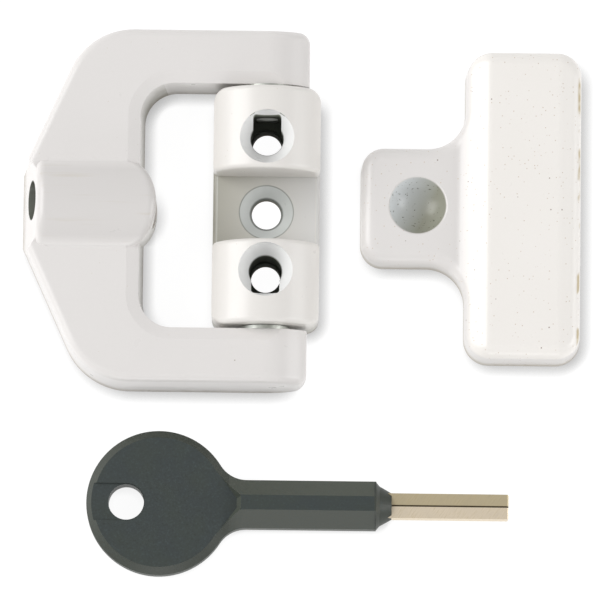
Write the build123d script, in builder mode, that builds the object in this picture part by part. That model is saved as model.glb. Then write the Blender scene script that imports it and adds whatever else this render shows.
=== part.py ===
from build123d import *
import os
from math import atan2, degrees, radians, sqrt, tan

# A key-operated window swing lock, laid out as a set on one flat face: the hinge block with its
# swing arm, the T-shaped keep to the right of it, and the key below them.
# Millimetres. The origin is on the mounting face (z = 0), midway along the hinge block and under
# the hinge axis. The hinge axis runs along Y, and the arm points to -X when it lies flat.

# Slack for picking edges and corners by their place
pick_slack = 0.01

# Hinge block
block_width = 16.0
block_length = 35.7
block_height = 13.0
pad_crown_radius = 8.8
recess_length = 10.6
floor_thickness = 3.5
block_corner_radius = 2.0
pad_inner_corner_radius = 0.9
pad_edge_round = 0.7
floor_edge_round = 0.6

# Screw holes of the hinge block
screw_pitch = 10.0
screw_hole_diameter = 4.4
screw_bore_diameter = 4.9
screw_head_diameter = 8.1
screw_head_sink = 1.0
countersink_depth = 2.2

# Hinge
axis_height = 6.4
pin_diameter = 4.0
pin_length = 8.0
pin_wall = 4.4
pin_slot_clearance = 0.1
pin_slot_corner = 0.5
pin_chamfer = 0.3
running_clearance = 0.04
bush_diameter = 5.6
bush_flange_diameter = 7.4
bush_flange_thickness = 0.5
bush_length = 3.4
side_play = 0.1
bore_end_clearance = 0.3

# Swing arm
arm_thickness = 10.0
arm_width = 8.4
arm_reach = 36.5
arm_draft = 1.5
crossbar_depth = 17.55
apex_half_width = 5.5
flank_angle = 24.4
flank_round_radius = 10.5
arm_end_corner_radius = 1.9
arm_crown_radius = 8.1
window_corner_radius = 5.0
window_wall_lean = 0.55
window_bevel_width = 1.8
window_bevel_depth = 0.45
arm_edge_round = 1.2

# Boss of the swing arm
boss_half_width = 6.6
boss_height = 12.6
boss_crown_radius = 9.4
boss_foot_radius = 1.2
boss_foot_start = 1.8
boss_foot_sink = 0.03
nose_overhang = 2.55
nose_round_length = 4.6
nose_edge_round = 1.2
end_face_lean = 12.0
end_face_round = 1.3
end_face_half_width = 4.5
end_face_flare = 34.0

# Lock inside the boss
lock_axis_height = 7.0
lock_offset = 0.8
keyhole_diameter = 5.8
keyhole_wall = 1.6
lock_bore_diameter = 8.0
lock_axial_clearance = 0.1
spindle_head_length = 3.3
spindle_screw_diameter = 3.0
spindle_screw_length = 8.0
key_socket_depth = 2.9
spindle_chamfer = 0.4
circlip_thickness = 0.8
circlip_inner_diameter = 5.0
circlip_groove_depth = 0.4
circlip_fit = 0.05
circlip_gap = 1.6
bolt_body_length = 3.5
bolt_tip_diameter = 6.0
bolt_tip_round = 1.2
bolt_set_back = 0.2
bolt_travel = 5.0
bolt_screw_hole_end_clearance = 0.4
nose_bush_length = 1.6
nose_bush_set_back = 1.6
guide_pin_diameter = 1.5
guide_pin_tip_radius = 2.45
guide_groove_clearance = 0.1
guide_pin_sink = 0.3
guide_pin_inset = 1.8

# Keep
keep_gap = 6.1
keep_offset = 1.05
stem_length = 15.6
stem_width = 17.8
stem_height = 5.5
stem_corner_radius = 3.4
bar_width = 17.5
bar_length = 46.7
bar_height = 8.0
bar_corner_radius = 3.8
stem_fillet_radius = 5.7
ramp_start = 0.8
ramp_end = 3.5
ramp_round = 2.0
bar_top_width = 10.6
bar_bevel_drop = 0.7
keep_draft = 2.0
bar_bevel_round = 4.0
keep_edge_round = 1.9
keep_wall = 1.9
cup_diameter = 8.7
cup_depth = 3.0
cup_position = 8.55
cup_pillar_wall = 1.6
cup_rim_round = 0.2
base_plate_thickness = 1.1
base_plate_fit = 0.06
keep_screw_spacing = 30.0

# Key
key_gap = 17.35
head_diameter = 21.6
head_thickness = 4.4
head_position = -15.45
shank_width = 7.2
shank_facet_width = 2.2
shank_length = 32.35
neck_radius = 4.6
pocket_reach = 0.8
pocket_tip_width = 1.4
pocket_flank_angle = 54.0
pocket_wall_lean = 25.0
ring_hole_diameter = 5.3
ring_hole_position = 4.85
ring_channel_width = 5.6
ring_channel_depth = 0.35
collar_width = 6.0
collar_chamfer_length = 0.5
collar_length = 1.8
collar_end_width = 3.95
bit_width = 3.7
bit_thickness = 2.7
bit_length = 17.4
bit_tang_length = 9.0
bit_groove_width = 0.22
bit_groove_depth = 0.35
bit_tip_chamfer = 0.15
key_socket_clearance = 0.1

# Places worked out from the sizes
block_end = block_length / 2
block_side = block_width / 2
slot_end = block_end - pin_wall
arm_inner = block_end + bush_flange_thickness + side_play
arm_outer = arm_inner + arm_width
window_wall = crossbar_depth - arm_reach
nose_tip = window_wall + nose_overhang
shoulder = -arm_reach + (arm_outer - apex_half_width) * tan(radians(flank_angle))
lean_slope = tan(radians(end_face_lean))
keyhole_top_x = -arm_reach + (lock_axis_height + keyhole_diameter / 2) * lean_slope
bore_front = keyhole_top_x + keyhole_wall
spindle_front = bore_front + lock_axial_clearance
spindle_shoulder = spindle_front + spindle_head_length
circlip_front = spindle_shoulder + lock_axial_clearance
nose_bush_end = nose_tip - nose_bush_set_back
bush_front = nose_bush_end - nose_bush_length
bolt_front = bush_front - lock_axial_clearance - bolt_travel - bolt_body_length
bolt_shoulder = bolt_front + bolt_body_length
guide_pin_x = bush_front - guide_pin_inset
keep_left = block_side + keep_gap
bar_left = keep_left + stem_length
bar_right = bar_left + bar_width
key_axis_y = -arm_outer - key_gap
key_axis_z = shank_width / 2
shank_end = head_position + shank_length
bit_start = shank_end - bit_tang_length + collar_chamfer_length + collar_length
bit_end = shank_end + collar_chamfer_length + collar_length + bit_length


def crown_height(crest, radius, offset):
    """Height of a crowned top at a distance from its crest line."""
    return crest - radius + sqrt(radius**2 - offset**2)


os.makedirs("parts", exist_ok=True)

# Hinge block
with BuildPart() as hinge_block:
    side_top = crown_height(block_height, pad_crown_radius, block_side)
    with BuildSketch(Plane.XZ.offset(-block_end)):
        with BuildLine():
            Polyline((-block_side, side_top), (-block_side, 0), (block_side, 0), (block_side, side_top))
            ThreePointArc((block_side, side_top), (0, block_height), (-block_side, side_top))
        make_face()
    extrude(amount=block_length)
    with BuildSketch(Plane.XY.offset(floor_thickness)):
        Rectangle(block_width, recess_length)
    extrude(amount=block_height, mode=Mode.SUBTRACT)
    upright = hinge_block.edges().filter_by(Axis.Z)
    end_corners = upright.filter_by(lambda edge: abs(edge.center().Y) > screw_pitch)
    fillet(end_corners, block_corner_radius)
    upright = hinge_block.edges().filter_by(Axis.Z)
    recess_corners = upright.filter_by(
        lambda edge: abs(abs(edge.center().Y) - recess_length / 2) < pick_slack
    )
    fillet(recess_corners, pad_inner_corner_radius)
    crowns = hinge_block.faces().sort_by(Axis.Z)[-2:]
    fillet(crowns.edges(), pad_edge_round)
    floor_sides = hinge_block.edges().filter_by(Axis.Y).filter_by(
        lambda edge: abs(edge.center().Z - floor_thickness) < pick_slack
    )
    fillet(floor_sides, floor_edge_round)
    # Screw holes: sunk for the head, then a clear bore, then the hole through the floor
    sink_angle = degrees(2 * atan2((screw_head_diameter - screw_bore_diameter) / 2, countersink_depth))
    sink_top = block_height - screw_head_sink
    with Locations((0, -screw_pitch, sink_top), (0, screw_pitch, sink_top)):
        CounterSinkHole(
            screw_bore_diameter / 2, screw_head_diameter / 2, sink_top - floor_thickness, sink_angle
        )
    with Locations((0, 0, floor_thickness)):
        CounterSinkHole(screw_bore_diameter / 2, screw_head_diameter / 2, countersink_depth, sink_angle)
    with GridLocations(0, screw_pitch, 1, 3):
        Hole(screw_hole_diameter / 2)
    # Slots that let the hinge pins in, and the pins' bores through the end walls
    slot_width = pin_diameter + 2 * pin_slot_clearance
    with BuildSketch(Plane.XY.offset(axis_height - slot_width / 2)):
        for side in (-1, 1):
            with Locations((0, side * (screw_pitch + slot_end) / 2)):
                Rectangle(slot_width, slot_end - screw_pitch)
    extrude(amount=block_height, mode=Mode.SUBTRACT)
    slot_corners = hinge_block.edges().filter_by(Axis.Z).filter_by(
        lambda edge: abs(abs(edge.center().Y) - slot_end) < pick_slack
    )
    fillet(slot_corners, pin_slot_corner)
    for direction in (-1, 1):
        with BuildSketch(Plane.XZ.offset(direction * slot_end)):
            with Locations((0, axis_height)):
                Circle(pin_diameter / 2)
        extrude(amount=direction * pin_wall, mode=Mode.SUBTRACT)
hinge_block.part.label = "hinge_block"
export_step(hinge_block.part, "parts/hinge_block.step")

# Hinge pins, pressed in the block's end walls, with their inner ends flush with the slots
with BuildPart() as hinge_pin_upper:
    with BuildSketch(Plane.XZ.offset(-slot_end)):
        with Locations((0, axis_height)):
            Circle(pin_diameter / 2)
    extrude(amount=-pin_length)
    chamfer(hinge_pin_upper.edges().sort_by(Axis.Y)[-1], pin_chamfer)
hinge_pin_upper.part.label = "hinge_pin_upper"
export_step(hinge_pin_upper.part, "parts/hinge_pin_upper.step")

with BuildPart() as hinge_pin_lower:
    add(hinge_pin_upper.part)
    mirror(about=Plane.XZ, mode=Mode.REPLACE)
hinge_pin_lower.part.label = "hinge_pin_lower"
export_step(hinge_pin_lower.part, "parts/hinge_pin_lower.step")

# Flanged bushes, pressed in the arms; the flange keeps the arm off the block
with BuildPart() as hinge_bush_upper:
    with BuildSketch(Plane.XZ.offset(-(arm_inner - bush_flange_thickness))):
        with Locations((0, axis_height)):
            Circle(bush_flange_diameter / 2)
            Circle(pin_diameter / 2 + running_clearance, mode=Mode.SUBTRACT)
    extrude(amount=-bush_flange_thickness)
    with BuildSketch(Plane.XZ.offset(-arm_inner)):
        with Locations((0, axis_height)):
            Circle(bush_diameter / 2)
            Circle(pin_diameter / 2 + running_clearance, mode=Mode.SUBTRACT)
    extrude(amount=-bush_length)
hinge_bush_upper.part.label = "hinge_bush_upper"
export_step(hinge_bush_upper.part, "parts/hinge_bush_upper.step")

with BuildPart() as hinge_bush_lower:
    add(hinge_bush_upper.part)
    mirror(about=Plane.XZ, mode=Mode.REPLACE)
hinge_bush_lower.part.label = "hinge_bush_lower"
export_step(hinge_bush_lower.part, "parts/hinge_bush_lower.step")

# Boss of the swing arm: crowned above and half round below, with a leaning end face and an
# elliptical nose
with BuildPart() as boss:
    side_top = crown_height(boss_height, boss_crown_radius, boss_half_width)
    with BuildSketch(Plane.YZ.offset(-arm_reach)):
        with BuildLine():
            Line((boss_half_width, side_top), (boss_half_width, lock_axis_height))
            ThreePointArc(
                (boss_half_width, lock_axis_height),
                (0, lock_axis_height - boss_half_width),
                (-boss_half_width, lock_axis_height),
            )
            Line((-boss_half_width, lock_axis_height), (-boss_half_width, side_top))
            ThreePointArc((-boss_half_width, side_top), (0, boss_height), (boss_half_width, side_top))
        make_face()
    extrude(amount=nose_tip + arm_reach)
    with BuildSketch(Plane.XZ.offset(-boss_half_width)):
        with BuildLine():
            Polyline(
                (-arm_reach, 0),
                (-arm_reach + lean_slope * boss_height, boss_height),
                (-arm_reach, boss_height),
                close=True,
            )
        make_face()
    extrude(amount=2 * boss_half_width, mode=Mode.SUBTRACT)
    end_edge = boss.faces().sort_by(Axis.X)[0].edges().sort_by(Axis.Z)[-1]
    fillet(end_edge, end_face_round)
    nose_start = nose_tip - nose_round_length
    with BuildSketch():
        with Locations((nose_start, 0)):
            Ellipse(nose_round_length, boss_half_width)
            Rectangle(arm_reach + nose_start, 2 * boss_half_width, align=(Align.MAX, Align.CENTER))
    extrude(amount=boss_height, mode=Mode.INTERSECT)
    crown = boss.faces().filter_by(GeomType.CYLINDER).sort_by(Axis.Z)[-1]
    fillet(crown.edges().sort_by(Axis.X)[-1], nose_edge_round)

# What is cut away from the plate for the boss's leaning end face
with BuildPart() as end_cut:
    cut_depth = lean_slope * boss_height
    flare = cut_depth / tan(radians(end_face_flare))
    with BuildSketch(Plane.XZ.offset(-arm_outer)):
        with BuildLine():
            Polyline(
                (-arm_reach, 0), (-arm_reach + cut_depth, boss_height), (-arm_reach, boss_height), close=True
            )
        make_face()
    extrude(amount=2 * arm_outer)
    with BuildSketch():
        with Locations((-arm_reach, 0)):
            Trapezoid(
                2 * (end_face_half_width + flare), cut_depth, end_face_flare, rotation=-90,
                align=(Align.CENTER, Align.MIN)
            )
    extrude(amount=boss_height, mode=Mode.INTERSECT)

# Swing arm: a D-shaped plate with a window that is open towards the hinge, and the boss along it
with BuildPart() as swing_arm:
    # Plate, narrowing a little upwards
    with BuildSketch() as arm_outline:
        with BuildLine():
            Polyline(
                (axis_height, arm_outer),
                (shoulder, arm_outer),
                (-arm_reach, apex_half_width),
                (-arm_reach, -apex_half_width),
                (shoulder, -arm_outer),
                (axis_height, -arm_outer),
                close=True,
            )
        make_face()
        shoulders = arm_outline.vertices().filter_by(lambda v: abs(v.X - shoulder) < pick_slack)
        fillet(shoulders, flank_round_radius)
        fillet(arm_outline.vertices().filter_by(lambda v: v.X > 0), arm_end_corner_radius)
    extrude(amount=arm_thickness, taper=arm_draft)
    # Hinge end, round about the axis below and crowned above
    with BuildSketch(Plane.XZ.offset(-arm_outer)):
        with Locations((0, axis_height)):
            Circle(axis_height)
        with Locations((0, arm_thickness - arm_crown_radius)):
            Circle(arm_crown_radius, mode=Mode.INTERSECT)
        with Locations((-arm_reach, 0)):
            Rectangle(arm_reach, arm_thickness, align=Align.MIN)
    extrude(amount=2 * arm_outer, mode=Mode.INTERSECT)
    # Rounded upper edge
    plate_top = swing_arm.faces().filter_by(Axis.Z).sort_by(Axis.Z)[-1]
    crown_top = swing_arm.faces().filter_by(GeomType.CYLINDER).sort_by(Axis.Z)[-1]
    rim = (plate_top.edges() + crown_top.edges()).filter_by(
        lambda edge: edge.center().X < -axis_height or abs(edge.center().Y) > arm_inner
    )
    fillet(rim, arm_edge_round)
    # Leaning end face under the boss, flared out to the flanks
    add(end_cut.part, mode=Mode.SUBTRACT)
    # Window between the arms, and the shallow bevel around it
    window_length = axis_height - window_wall
    with BuildSketch():
        with Locations((window_wall + window_wall_lean, 0)):
            RectangleRounded(
                2 * window_length, 2 * arm_inner, window_corner_radius, align=(Align.MIN, Align.CENTER)
            )
    with BuildSketch(Plane.XY.offset(arm_thickness)):
        with Locations((window_wall, 0)):
            RectangleRounded(
                2 * window_length, 2 * arm_inner, window_corner_radius, align=(Align.MIN, Align.CENTER)
            )
    loft(mode=Mode.SUBTRACT)
    with BuildSketch(Plane.XY.offset(arm_thickness - 2 * window_bevel_depth)):
        with Locations((window_wall, 0)):
            RectangleRounded(
                2 * window_length, 2 * arm_inner, window_corner_radius, align=(Align.MIN, Align.CENTER)
            )
        offset(amount=-window_bevel_width, mode=Mode.REPLACE)
    with BuildSketch(Plane.XY.offset(arm_thickness)):
        with Locations((window_wall, 0)):
            RectangleRounded(
                2 * window_length, 2 * arm_inner, window_corner_radius, align=(Align.MIN, Align.CENTER)
            )
        offset(amount=window_bevel_width, mode=Mode.REPLACE)
    loft(mode=Mode.SUBTRACT)
    # Boss, with a concave round along its foot
    add(boss.part)
    foot_start = -arm_reach + lean_slope * arm_thickness + boss_foot_start
    with BuildSketch(Plane.YZ.offset(foot_start)) as foot_section:
        with Locations((0, boss_height - boss_crown_radius)):
            Circle(boss_crown_radius - boss_foot_sink)
        with Locations((0, arm_thickness - boss_foot_radius)):
            foot_width = 2 * boss_half_width + 4 * boss_foot_radius
            Rectangle(foot_width, boss_height, align=(Align.CENTER, Align.MIN), mode=Mode.INTERSECT)
            Rectangle(foot_width, boss_foot_radius, align=(Align.CENTER, Align.MIN))
            fillet(foot_section.vertices().filter_by(lambda v: abs(v.X) < boss_half_width), boss_foot_radius)
            inner_width = 2 * boss_half_width - 2 * boss_foot_radius
            Rectangle(inner_width, boss_height, align=(Align.CENTER, Align.MIN), mode=Mode.SUBTRACT)
    extrude(amount=window_wall - window_bevel_width - foot_start)
    # Keyhole, lock bore with its circlip groove, and the guide pin's hole from below
    with BuildSketch(Plane.YZ.offset(-arm_reach)):
        with Locations((lock_offset, lock_axis_height)):
            Circle(keyhole_diameter / 2)
    extrude(amount=bore_front + arm_reach, mode=Mode.SUBTRACT)
    with BuildSketch(Plane.YZ.offset(bore_front)):
        with Locations((lock_offset, lock_axis_height)):
            Circle(lock_bore_diameter / 2)
    extrude(amount=nose_tip - bore_front, mode=Mode.SUBTRACT)
    with BuildSketch(Plane.YZ.offset(circlip_front)):
        with Locations((lock_offset, lock_axis_height)):
            Circle(lock_bore_diameter / 2 + circlip_groove_depth)
    extrude(amount=circlip_thickness, mode=Mode.SUBTRACT)
    with BuildSketch():
        with Locations((guide_pin_x, lock_offset)):
            Circle(guide_pin_diameter / 2)
    extrude(amount=lock_axis_height, mode=Mode.SUBTRACT)
    # Bores for the bushes, a little deeper than the bush, with room for the pin's end
    for side in (-1, 1):
        with BuildSketch(Plane.XZ.offset(-side * arm_inner)):
            with Locations((0, axis_height)):
                Circle(bush_diameter / 2)
        extrude(amount=-side * (bush_length + bore_end_clearance), mode=Mode.SUBTRACT)
swing_arm.part.label = "swing_arm"
export_step(swing_arm.part, "parts/swing_arm.step")

# Lock spindle: a head with the key's socket, and a coarse screw that drives the bolt
with BuildPart() as lock_spindle:
    spindle_radius = lock_bore_diameter / 2 - running_clearance
    with BuildSketch(Plane.YZ.offset(spindle_front)):
        with Locations((lock_offset, lock_axis_height)):
            Circle(spindle_radius)
    extrude(amount=spindle_head_length)
    with BuildSketch(Plane.YZ.offset(spindle_shoulder)):
        with Locations((lock_offset, lock_axis_height)):
            Circle(spindle_screw_diameter / 2)
    extrude(amount=spindle_screw_length)
    chamfer(lock_spindle.edges().sort_by(Axis.X)[-1], spindle_chamfer)
    with BuildSketch(Plane.YZ.offset(spindle_front)):
        with Locations((lock_offset, lock_axis_height)):
            Rectangle(bit_width + 2 * key_socket_clearance, bit_thickness + 2 * key_socket_clearance)
    extrude(amount=key_socket_depth, mode=Mode.SUBTRACT)
lock_spindle.part.label = "lock_spindle"
export_step(lock_spindle.part, "parts/lock_spindle.step")

# Retaining ring behind the spindle's head, sprung into a groove of the bore
with BuildPart() as spindle_circlip:
    with BuildSketch(Plane.YZ.offset(circlip_front)):
        with Locations((lock_offset, lock_axis_height)):
            Circle(lock_bore_diameter / 2 + circlip_groove_depth - circlip_fit)
            Circle(circlip_inner_diameter / 2, mode=Mode.SUBTRACT)
            Rectangle(circlip_gap, lock_bore_diameter, align=(Align.CENTER, Align.MIN), mode=Mode.SUBTRACT)
    extrude(amount=circlip_thickness)
spindle_circlip.part.label = "spindle_circlip"
export_step(spindle_circlip.part, "parts/spindle_circlip.step")

# Bolt, driven along its bore by the spindle's screw and kept from turning by the guide pin
with BuildPart() as lock_bolt:
    with BuildSketch(Plane.YZ.offset(bolt_front)):
        with Locations((lock_offset, lock_axis_height)):
            Circle(spindle_radius)
    extrude(amount=bolt_body_length)
    with BuildSketch(Plane.YZ.offset(bolt_shoulder)):
        with Locations((lock_offset, lock_axis_height)):
            Circle(bolt_tip_diameter / 2)
    extrude(amount=nose_bush_end - bolt_set_back - bolt_shoulder)
    fillet(lock_bolt.edges().sort_by(Axis.X)[-1], bolt_tip_round)
    with BuildSketch(Plane.YZ.offset(bolt_front)):
        with Locations((lock_offset, lock_axis_height)):
            Circle(spindle_screw_diameter / 2 + running_clearance)
    screw_hole_end = spindle_shoulder + spindle_screw_length + bolt_screw_hole_end_clearance
    extrude(amount=screw_hole_end - bolt_front, mode=Mode.SUBTRACT)
    groove_width = guide_pin_diameter + 2 * guide_groove_clearance
    groove_top = lock_axis_height - guide_pin_tip_radius + guide_groove_clearance
    with BuildSketch(Plane.XY.offset(groove_top)):
        with Locations((guide_pin_x, lock_offset)):
            Circle(groove_width / 2)
            Rectangle(lock_bore_diameter * 2, groove_width, align=(Align.MAX, Align.CENTER))
    extrude(amount=-lock_bore_diameter, mode=Mode.SUBTRACT)
lock_bolt.part.label = "lock_bolt"
export_step(lock_bolt.part, "parts/lock_bolt.step")

# Guide pin, pressed into the arm from below, with its tip in the bolt's groove
with BuildPart() as bolt_guide_pin:
    with BuildSketch(Plane.XY.offset(guide_pin_sink)):
        with Locations((guide_pin_x, lock_offset)):
            Circle(guide_pin_diameter / 2)
    extrude(amount=lock_axis_height - guide_pin_tip_radius - guide_pin_sink)
bolt_guide_pin.part.label = "bolt_guide_pin"
export_step(bolt_guide_pin.part, "parts/bolt_guide_pin.step")

# Bush pressed into the mouth of the bore; the bolt's tip runs in it
with BuildPart() as nose_bush:
    with BuildSketch(Plane.YZ.offset(bush_front)):
        with Locations((lock_offset, lock_axis_height)):
            Circle(lock_bore_diameter / 2)
            Circle(bolt_tip_diameter / 2 + running_clearance, mode=Mode.SUBTRACT)
    extrude(amount=nose_bush_length)
nose_bush.part.label = "nose_bush"
export_step(nose_bush.part, "parts/nose_bush.step")

# Keep: T-shaped in plan, low along the stem and ramped up to a taller bar. Its side view is used
# once for the outside and once, lower down, for the hollow underneath.
with BuildSketch() as keep_plan:
    with Locations((keep_left, keep_offset)):
        Rectangle(stem_length + bar_corner_radius, stem_width, align=(Align.MIN, Align.CENTER))
    with Locations((bar_left, keep_offset)):
        Rectangle(bar_width, bar_length, align=(Align.MIN, Align.CENTER))
    fillet(keep_plan.vertices().group_by(Axis.X)[0], stem_corner_radius)
    bar_corners = keep_plan.vertices().filter_by(lambda v: abs(v.Y - keep_offset) > stem_width)
    fillet(bar_corners, bar_corner_radius)
    inner_corners = keep_plan.vertices().filter_by(
        lambda v: abs(v.X - bar_left) < pick_slack and abs(v.Y - keep_offset) < stem_width / 2 + pick_slack
    )
    fillet(inner_corners, stem_fillet_radius)
with BuildSketch(Plane.XZ.offset(bar_length)) as keep_side:
    with BuildLine():
        Polyline(
            (keep_left, -keep_wall),
            (keep_left, stem_height),
            (bar_left - ramp_start, stem_height),
            (bar_left + ramp_end, bar_height),
            (bar_left + ramp_end + bar_top_width, bar_height),
            (bar_right, bar_height - bar_bevel_drop),
            (bar_right, -keep_wall),
            close=True,
        )
    make_face()
    ramp_ends = keep_side.vertices().filter_by(lambda v: abs(v.X - bar_left) < ramp_end + pick_slack)
    fillet(ramp_ends, ramp_round)
    bevel_start = keep_side.vertices().group_by(Axis.Y)[-1].sort_by(Axis.X)[-1]
    fillet(bevel_start, bar_bevel_round)

# Hollow of the keep: a smaller outline under the lowered side view, less a pillar under the cup
with BuildPart() as keep_hollow:
    with BuildSketch():
        add(keep_plan.sketch)
        offset(amount=-keep_wall, mode=Mode.REPLACE)
    extrude(amount=bar_height, taper=keep_draft)
    extrude(keep_side.sketch.moved(Pos(0, 0, -keep_wall)), amount=-2 * bar_length, mode=Mode.INTERSECT)
    with BuildSketch(Plane.XY.offset(base_plate_thickness)):
        with Locations((keep_left + cup_position, keep_offset)):
            Circle(cup_diameter / 2 + cup_pillar_wall)
    extrude(amount=bar_height, mode=Mode.SUBTRACT)

with BuildPart() as keep_cover:
    extrude(keep_plan.sketch, amount=bar_height, taper=keep_draft)
    extrude(keep_side.sketch, amount=-2 * bar_length, mode=Mode.INTERSECT)
    # The upper edge is one smooth run, so rounding its lowest piece rounds all of it
    upper_edge = keep_cover.faces().filter_by(Axis.Z).sort_by(Axis.X)[0].edges().sort_by(Axis.X)[0]
    fillet(upper_edge, keep_edge_round)
    # Cup for the bolt's domed tip
    cup_radius = ((cup_diameter / 2) ** 2 + cup_depth**2) / (2 * cup_depth)
    with Locations((keep_left + cup_position, keep_offset, stem_height - cup_depth + cup_radius)):
        Sphere(cup_radius, mode=Mode.SUBTRACT)
    cup_rim = keep_cover.edges().filter_by(GeomType.CIRCLE).filter_by(
        lambda edge: abs(edge.radius - cup_diameter / 2) < pick_slack
    )
    fillet(cup_rim, cup_rim_round)
    add(keep_hollow.part, mode=Mode.SUBTRACT)
keep_cover.part.label = "keep_cover"
export_step(keep_cover.part, "parts/keep_cover.step")

# Base plate of the keep, screwed down, with the cover held over it
with BuildPart() as keep_base_plate:
    with BuildSketch():
        add(keep_plan.sketch)
        offset(amount=-keep_wall - base_plate_fit, mode=Mode.REPLACE)
        with Locations((bar_left + bar_width / 2, keep_offset)):
            with GridLocations(0, keep_screw_spacing, 1, 2):
                Circle(screw_hole_diameter / 2, mode=Mode.SUBTRACT)
    extrude(amount=base_plate_thickness)
keep_base_plate.part.label = "keep_base_plate"
export_step(keep_base_plate.part, "parts/keep_base_plate.step")

# Key handle: a flat round head, a ramp up to an eight-sided shank, and a collar at its end
with BuildPart() as key_handle:
    half_thickness = shank_width / 2
    facet = (shank_width - shank_facet_width) / 2
    with BuildSketch(Plane.XY.offset(key_axis_z - half_thickness)) as key_plan:
        with Locations((head_position, key_axis_y)):
            Circle(head_diameter / 2)
            Rectangle(shank_length, shank_width, align=(Align.MIN, Align.CENTER))
        neck = key_plan.vertices().filter_by(
            lambda v: v.X < shank_end - shank_width
            and abs(abs(v.Y - key_axis_y) - half_thickness) < pick_slack
        )
        fillet(neck, neck_radius)
    extrude(amount=shank_width)
    flats = key_handle.faces().filter_by(Axis.Z)
    bevels = flats.edges().filter_by(lambda edge: edge.center().X < shank_end - pick_slack)
    chamfer(bevels, facet)
    # Head made thinner above and below, with a pointed wall where the shank begins
    pocket_tip = head_position + head_diameter / 2 + pocket_reach
    flank_end = pocket_tip - (head_diameter - pocket_tip_width / 2) / tan(radians(pocket_flank_angle))
    for side in (-1, 1):
        face_height = key_axis_z + side * head_thickness / 2
        with BuildSketch(Plane((0, key_axis_y, face_height), x_dir=(1, 0, 0), z_dir=(0, 0, side))):
            with BuildLine():
                Polyline(
                    (head_position - head_diameter, head_diameter),
                    (flank_end, head_diameter),
                    (pocket_tip, pocket_tip_width / 2),
                    (pocket_tip, -pocket_tip_width / 2),
                    (flank_end, -head_diameter),
                    (head_position - head_diameter, -head_diameter),
                    close=True,
                )
            make_face()
        extrude(amount=half_thickness - head_thickness / 2, taper=-pocket_wall_lean, mode=Mode.SUBTRACT)
    # Ring hole, with a shallow channel from it to the rim on both faces
    with BuildSketch(Plane.XY.offset(key_axis_z - half_thickness)):
        with Locations((head_position - ring_hole_position, key_axis_y)):
            Circle(ring_hole_diameter / 2)
    extrude(amount=shank_width, mode=Mode.SUBTRACT)
    for side in (-1, 1):
        with BuildSketch(Plane.XY.offset(key_axis_z + side * (head_thickness / 2 - ring_channel_depth))):
            with Locations((head_position - ring_hole_position, key_axis_y)):
                Circle(ring_channel_width / 2)
                Rectangle(head_diameter, ring_channel_width, align=(Align.MAX, Align.CENTER))
        extrude(amount=side * head_thickness, mode=Mode.SUBTRACT)
    # Collar
    with BuildSketch(Plane.XZ.offset(-key_axis_y)):
        with BuildLine():
            Polyline(
                (shank_end, key_axis_z),
                (shank_end, key_axis_z + half_thickness),
                (shank_end + collar_chamfer_length, key_axis_z + collar_width / 2),
                (shank_end + collar_chamfer_length + collar_length, key_axis_z + collar_end_width / 2),
                (shank_end + collar_chamfer_length + collar_length, key_axis_z),
                close=True,
            )
        make_face()
    revolve(axis=Axis((0, key_axis_y, key_axis_z), (1, 0, 0)))
    # Socket that the steel bit is moulded into
    with BuildSketch(Plane.YZ.offset(bit_start)):
        with Locations((key_axis_y, key_axis_z)):
            Rectangle(bit_width, bit_thickness)
    extrude(amount=shank_length, mode=Mode.SUBTRACT)
key_handle.part.label = "key_handle"
export_step(key_handle.part, "parts/key_handle.step")

# Steel bit of the key: a flat bar with a narrow groove along each broad face
with BuildPart() as key_bit:
    with BuildSketch(Plane.YZ.offset(bit_start)):
        with Locations((key_axis_y, key_axis_z)):
            Rectangle(bit_width, bit_thickness)
    extrude(amount=bit_end - bit_start)
    tip_edges = key_bit.faces().sort_by(Axis.X)[-1].edges()
    chamfer(tip_edges, bit_tip_chamfer)
    with BuildSketch(Plane.YZ.offset(shank_end + collar_chamfer_length + collar_length)):
        with Locations((key_axis_y, key_axis_z)):
            with GridLocations(0, bit_thickness, 1, 2):
                Rectangle(bit_groove_width, 2 * bit_groove_depth)
    extrude(amount=bit_length, mode=Mode.SUBTRACT)
key_bit.part.label = "key_bit"
export_step(key_bit.part, "parts/key_bit.step")
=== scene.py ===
# %% [markdown]
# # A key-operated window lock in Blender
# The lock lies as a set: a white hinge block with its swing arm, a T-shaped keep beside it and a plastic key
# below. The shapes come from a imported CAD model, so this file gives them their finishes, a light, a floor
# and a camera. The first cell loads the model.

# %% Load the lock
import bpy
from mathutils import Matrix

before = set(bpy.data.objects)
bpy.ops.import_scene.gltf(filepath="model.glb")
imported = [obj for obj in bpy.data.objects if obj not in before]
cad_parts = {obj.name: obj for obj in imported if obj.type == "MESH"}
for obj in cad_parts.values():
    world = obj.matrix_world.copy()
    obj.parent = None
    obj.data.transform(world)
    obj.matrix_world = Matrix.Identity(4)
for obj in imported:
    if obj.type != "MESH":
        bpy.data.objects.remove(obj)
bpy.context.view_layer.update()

# %% [markdown]
# Blender measures in metres and this lock is a hand's width, so lengths are easier to read when they
# are written in millimetres and multiplied by one value. Colours are written as the hex values that
# a colour picker shows. Shaders work with linear light, so one function turns them.

# %% Units and colours
import bpy
from math import cos, pi, radians, sin
from mathutils import Matrix, Vector

MM = 0.001
WHITE_LIGHT = (1.0, 1.0, 1.0, 1.0)


def linear(hex_code):
    """Linear RGBA of an sRGB hex colour."""
    channels = [int(hex_code[i:i + 2], 16) / 255 for i in (1, 3, 5)]
    light = [c / 12.92 if c <= 0.04045 else ((c + 0.055) / 1.055) ** 2.4 for c in channels]
    return (*light, 1.0)


print("A picker's middle grey in linear light:", round(linear("#808080")[0], 3))

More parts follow.
